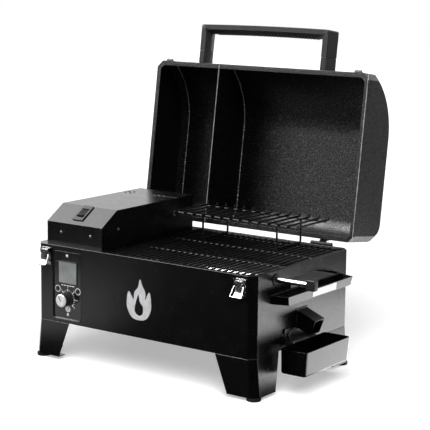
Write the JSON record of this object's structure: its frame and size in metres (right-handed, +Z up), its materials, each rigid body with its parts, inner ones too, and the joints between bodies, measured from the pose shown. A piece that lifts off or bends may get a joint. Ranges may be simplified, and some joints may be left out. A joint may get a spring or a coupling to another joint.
{
  "type": "pellet smoker grill",
  "caption": "Tabletop pellet smoker with a hinged lid, pellet hopper, control panel, cooking grate, warming rack, grease bucket and corner legs.",
  "frame": {"origin": "centre of the bounding box's bottom face, on the table under the feet", "axes": "+Z up, -Y towards the control panel and handle side, +X towards the grease bucket"},
  "size_m": [0.755, 0.6248, 0.8006],
  "materials": {
    "black_paint": "semi-gloss black hammertone powder coat",
    "black_plastic": "fine matte black moulding",
    "black_rubber": "matte black rubber",
    "dark_steel": "bare steel sheet, slightly dull",
    "chrome": "bright plated steel",
    "silver_paint": "silver with a satin sheen",
    "black_enamel": "glossy black porcelain enamel",
    "display_glass": "grey liquid-crystal display under a clear window"
  },
  "bodies": {
    "firebox": {"auger_motor": "black_plastic", "auger_tube": "dark_steel", "broiler_plate": "dark_steel", "bucket_bracket": "black_paint", "burn_pot": "dark_steel", "control_bezel": "black_plastic", "controller_box": "black_plastic", "display_lens": "display_glass", "exhaust_scoop": "black_paint", "fan_housing": "black_plastic", "firebox_divider": "black_paint", "firebox_shell": "black_paint", "foot_front_left": "black_rubber", "foot_front_right": "black_rubber", "foot_rear_left": "black_rubber", "foot_rear_right": "black_rubber", "grate_ledge": "black_paint", "grease_chute": "black_paint", "grease_tray": "dark_steel", "hinge_leaf_left": "dark_steel", "hinge_leaf_right": "dark_steel", "hopper_bin": "dark_steel", "hopper_housing": "black_paint", "igniter": "dark_steel", "latch_base_left": "chrome", "latch_base_right": "chrome", "leg_front_left": "black_paint", "leg_front_right": "black_paint", "leg_rear_left": "black_paint", "leg_rear_right": "black_paint", "power_inlet": "black_plastic", "probe_jack": "silver_paint", "rod_grommet": "black_plastic", "switch_bezel": "black_plastic", "temperature_probe": "dark_steel"},
    "lid": {"lid_shell": "black_paint", "lid_partition": "black_paint", "handle_grip": "black_plastic", "handle_post_left": "black_plastic", "handle_post_right": "black_plastic", "lid_strike_left": "black_paint", "lid_strike_right": "black_paint", "lid_hinge_leaf_left": "dark_steel", "lid_hinge_leaf_right": "dark_steel"},
    "hopper_lid": {"hopper_lid": "black_paint"},
    "lever_left": {"latch_lever_left": "chrome"},
    "lever_right": {"latch_lever_right": "chrome"},
    "bail_left": {"latch_bail_left": "chrome"},
    "bail_right": {"latch_bail_right": "chrome"},
    "dial": {"temperature_dial": "silver_paint"},
    "rocker": {"power_rocker": "black_plastic"},
    "button_left": {"button_left": "black_plastic"},
    "button_right": {"button_right": "black_plastic"},
    "broiler": {"broiler_slider": "dark_steel", "broiler_knob": "black_plastic"},
    "bucket": {"grease_bucket": "black_paint"},
    "grate": {"cooking_grate": "black_enamel"},
    "rack": {"warming_rack": "black_enamel"},
    "auger": {"auger_screw": "dark_steel"},
    "impeller": {"fan_impeller": "dark_steel"}
  },
  "joints": [
    {"name": "lid_hinge", "type": "hinge", "parent": "firebox", "child": "lid", "pos_m": [-0.0485, 0.13208, 0.284], "axis": [1, 0, 0], "range_deg": [0, 98]},
    {"name": "hopper_lid_hinge", "type": "hinge", "parent": "firebox", "child": "hopper_lid", "pos_m": [-0.2625, 0.02108, 0.373], "axis": [1, 0, 0], "range_deg": [-100, 0]},
    {"name": "dial_turn", "type": "hinge", "parent": "firebox", "child": "dial", "pos_m": [-0.2705, -0.28542, 0.156], "axis": [0, -1, 0], "range_deg": [-270, 0]},
    {"name": "rocker_tilt", "type": "hinge", "parent": "firebox", "child": "rocker", "pos_m": [-0.2625, -0.23572, 0.3586], "axis": [-1, 0, 0], "range_deg": [-24, 0]},
    {"name": "broiler_slide", "type": "slide", "parent": "firebox", "child": "broiler", "axis": [1, 0, 0], "range_m": [-0.06, 0]},
    {"name": "bucket_lift", "type": "slide", "parent": "firebox", "child": "bucket", "axis": [0, 0, -1], "range_m": [-0.012, 0]},
    {"name": "grate_lift", "type": "slide", "parent": "firebox", "child": "grate", "axis": [0, 0, -1], "range_m": [-0.25, 0]},
    {"name": "rack_lift", "type": "slide", "parent": "grate", "child": "rack", "axis": [0, 0, -1], "range_m": [-0.2, 0]},
    {"name": "auger_turn", "type": "hinge", "parent": "firebox", "child": "auger", "pos_m": [-0.3085, -0.08392, 0.144], "axis": [1, 0, 0], "continuous": true},
    {"name": "fan_turn", "type": "hinge", "parent": "firebox", "child": "impeller", "pos_m": [-0.2625, 0.05608, 0.148], "axis": [0, 1, 0], "continuous": true},
    {"name": "lever_left_turn", "type": "hinge", "parent": "firebox", "child": "lever_left", "pos_m": [-0.3335, -0.29542, 0.27], "axis": [1, 0, 0], "range_deg": [-90, 0]},
    {"name": "bail_left_swing", "type": "hinge", "parent": "lever_left", "child": "bail_left", "pos_m": [-0.3335, -0.29742, 0.26], "axis": [1, 0, 0], "range_deg": [-95, 0]},
    {"name": "button_left_press", "type": "slide", "parent": "firebox", "child": "button_left", "axis": [0, -1, 0], "range_m": [-0.0015, 0], "stiffness_N_per_m": 300},
    {"name": "lever_right_turn", "type": "hinge", "parent": "firebox", "child": "lever_right", "pos_m": [0.2365, -0.29542, 0.27], "axis": [1, 0, 0], "range_deg": [-90, 0]},
    {"name": "bail_right_swing", "type": "hinge", "parent": "lever_right", "child": "bail_right", "pos_m": [0.2365, -0.29742, 0.26], "axis": [1, 0, 0], "range_deg": [-95, 0]},
    {"name": "button_right_press", "type": "slide", "parent": "firebox", "child": "button_right", "axis": [0, -1, 0], "range_m": [-0.0015, 0], "stiffness_N_per_m": 300}
  ]
}
